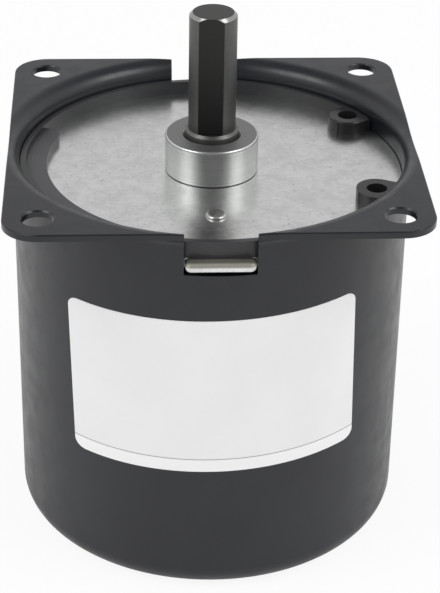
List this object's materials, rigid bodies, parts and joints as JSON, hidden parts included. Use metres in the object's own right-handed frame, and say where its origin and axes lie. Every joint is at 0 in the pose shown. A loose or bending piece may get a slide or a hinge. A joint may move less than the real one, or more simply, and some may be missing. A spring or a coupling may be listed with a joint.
{
  "type": "synchronous gear motor",
  "caption": "Small round gear motor with a square mounting flange at the top, a recessed plate with a bearing boss, a D-shaped output shaft and a blank nameplate.",
  "frame": {"origin": "centre of the can's base", "axes": "+Z along the output shaft, -Y towards the nameplate"},
  "size_m": [0.06, 0.06, 0.081],
  "materials": {
    "can_enamel": "satin black-grey enamel on drawn steel",
    "zinc_plate": "bright zinc plating, faintly mottled",
    "boss_steel": "turned and ground",
    "shaft_steel": "dark oiled steel",
    "ring_plastic": "gloss black moulding",
    "gear_steel": "hobbed teeth, oiled",
    "spindle_steel": "drawn pin with a riveted head",
    "post_steel": "turned, zinc plated",
    "screw_steel": "zinc plated",
    "stator_steel": "pressed electrical steel, zinc plated",
    "bush_bronze": "sintered bronze",
    "magnet": "ferrite, ground outside",
    "hub_plastic": "natural moulding",
    "bobbin_plastic": "glass-filled moulding",
    "copper": "enamelled copper wire",
    "pin_brass": "tinned",
    "rear_plastic": "moulded spacer",
    "grommet_rubber": "moulded rubber",
    "washer_nylon": "punched nylon",
    "foil_label": "pale satin foil"
  },
  "bodies": {
    "housing": {"housing_can": "can_enamel", "front_plate": "zinc_plate", "bearing_boss": "boss_steel", "case_ring": "ring_plastic", "thrust_washer": "washer_nylon", "gear_spindle": "spindle_steel", "spindle_washer": "washer_nylon", "spindle_spacer": "washer_nylon", "plate_posts": "post_steel", "post_screws": "screw_steel", "gear_plate": "zinc_plate", "upper_bush": "bush_bronze", "lower_bush": "bush_bronze", "spring_washer": "spindle_steel", "rear_plate": "rear_plastic", "lead_grommet": "grommet_rubber", "nameplate": "foil_label", "lower_pole_cup": "stator_steel", "lower_pole_plate": "stator_steel", "lower_bobbin": "bobbin_plastic", "lower_winding": "copper", "lower_terminal_block": "bobbin_plastic", "lower_terminal_pins": "pin_brass", "upper_pole_cup": "stator_steel", "upper_pole_plate": "stator_steel", "upper_bobbin": "bobbin_plastic", "upper_winding": "copper", "upper_terminal_block": "bobbin_plastic", "upper_terminal_pins": "pin_brass"},
    "rotor": {"rotor_shaft": "spindle_steel", "rotor_pinion": "gear_steel", "rotor_hub": "hub_plastic", "rotor_magnet": "magnet"},
    "idler": {"idler_wheel": "gear_steel", "idler_pinion": "gear_steel"},
    "output": {"output_shaft": "shaft_steel", "output_gear": "gear_steel"}
  },
  "joints": [
    {"name": "output_spin", "type": "hinge", "parent": "housing", "child": "output", "pos_m": [0, 0, 0.06], "axis": [0, 0, 1], "continuous": true},
    {"name": "idler_spin", "type": "hinge", "parent": "housing", "child": "idler", "pos_m": [0, -0.0156, 0.047], "axis": [0, 0, 1], "continuous": true},
    {"name": "rotor_spin", "type": "hinge", "parent": "housing", "child": "rotor", "pos_m": [0, 0, 0.022], "axis": [0, 0, 1], "continuous": true}
  ],
  "couplings": [
    {"joint": "idler_spin", "follows": "output_spin", "ratio": -3.3333},
    {"joint": "rotor_spin", "follows": "output_spin", "ratio": 10}
  ]
}
